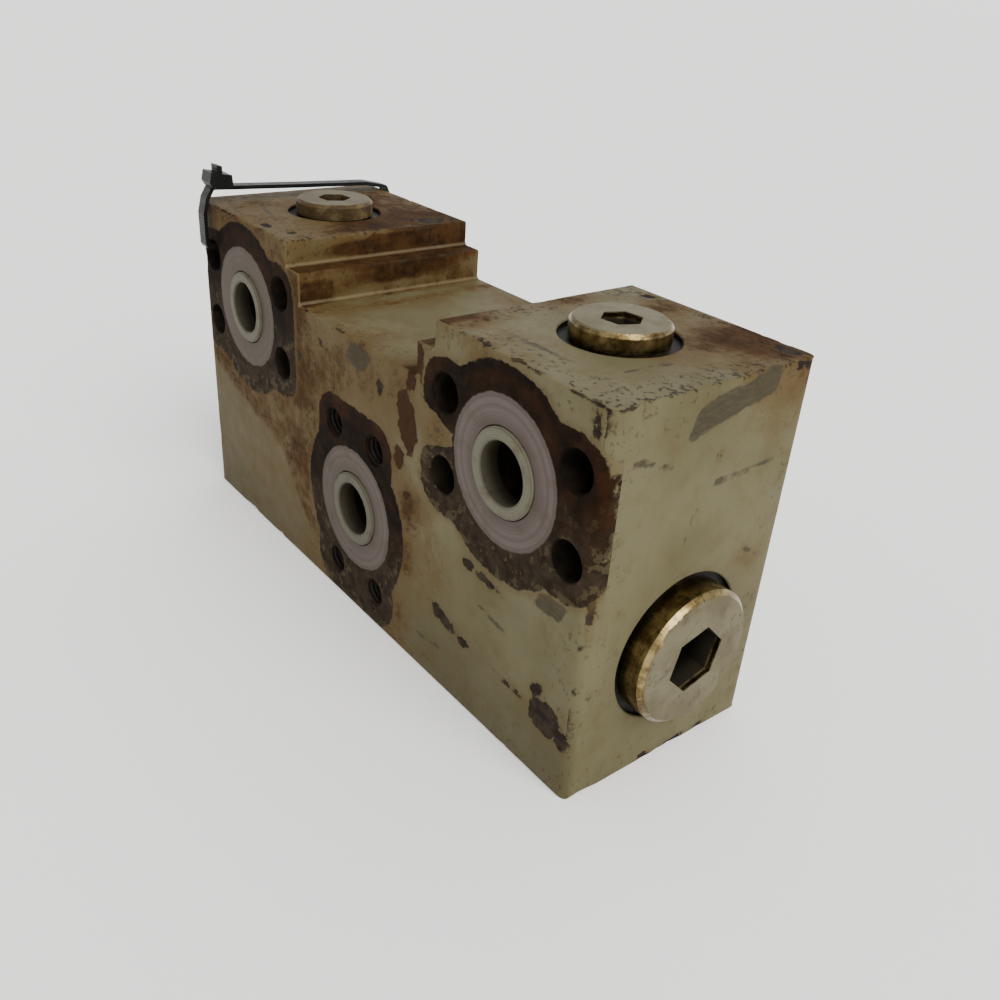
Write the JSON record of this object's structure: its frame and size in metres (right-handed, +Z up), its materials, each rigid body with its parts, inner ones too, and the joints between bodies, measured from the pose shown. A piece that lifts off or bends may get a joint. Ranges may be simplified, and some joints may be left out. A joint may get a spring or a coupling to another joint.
{
  "type": "hydraulic valve block",
  "caption": "Painted steel hydraulic valve block with flanged side ports, hex-socket screw plugs and an internal sliding spool and check poppets.",
  "frame": {"origin": "middle of the block's bottom face", "axes": "+X along the block's length, -Y out of the flange ports' face, +Z up"},
  "size_m": [0.228, 0.0768, 0.1249],
  "materials": {
    "block_paint": "worn satin grey-green paint with rust and bare flange marks",
    "plug_zinc": "yellow-passivated zinc, face painted over",
    "seal_washer": "plated steel",
    "ring_cream": "matt",
    "ground_steel": "ground",
    "spring_steel": "oiled spring steel",
    "seal_rubber": "matt black",
    "black_nylon": "matt black"
  },
  "bodies": {
    "block": {"valve_body": "block_paint", "end_plug_right": "plug_zinc", "end_plug_seal_right": "seal_washer", "top_plug_right": "plug_zinc", "top_plug_seal_right": "seal_washer", "port_ring_right": "ring_cream", "back_seal_right": "seal_rubber", "check_seat_right": "ground_steel", "spring_seat_right": "ground_steel", "centring_spring_right": "spring_steel", "check_spring_right": "spring_steel", "end_plug_left": "plug_zinc", "end_plug_seal_left": "seal_washer", "top_plug_left": "plug_zinc", "top_plug_seal_left": "seal_washer", "port_ring_left": "ring_cream", "back_seal_left": "seal_rubber", "check_seat_left": "ground_steel", "spring_seat_left": "ground_steel", "centring_spring_left": "spring_steel", "check_spring_left": "spring_steel", "port_ring_centre": "ring_cream", "cable_tie": "black_nylon"},
    "spool": {"divider_spool": "ground_steel"},
    "poppet_right": {"check_poppet_right": "ground_steel"},
    "poppet_left": {"check_poppet_left": "ground_steel"}
  },
  "joints": [
    {"name": "spool_slide", "type": "slide", "parent": "block", "child": "spool", "axis": [1, 0, 0], "range_m": [-0.006, 0.006], "stiffness_N_per_m": 6000, "deforming": ["centring_spring_right", "centring_spring_left"]},
    {"name": "poppet_right_lift", "type": "slide", "parent": "block", "child": "poppet_right", "axis": [0, 0, 1], "range_m": [0, 0.005], "stiffness_N_per_m": 1500, "springref_m": -0.003, "deforming": ["check_spring_right"]},
    {"name": "poppet_left_lift", "type": "slide", "parent": "block", "child": "poppet_left", "axis": [0, 0, 1], "range_m": [0, 0.005], "stiffness_N_per_m": 1500, "springref_m": -0.003, "deforming": ["check_spring_left"]}
  ]
}
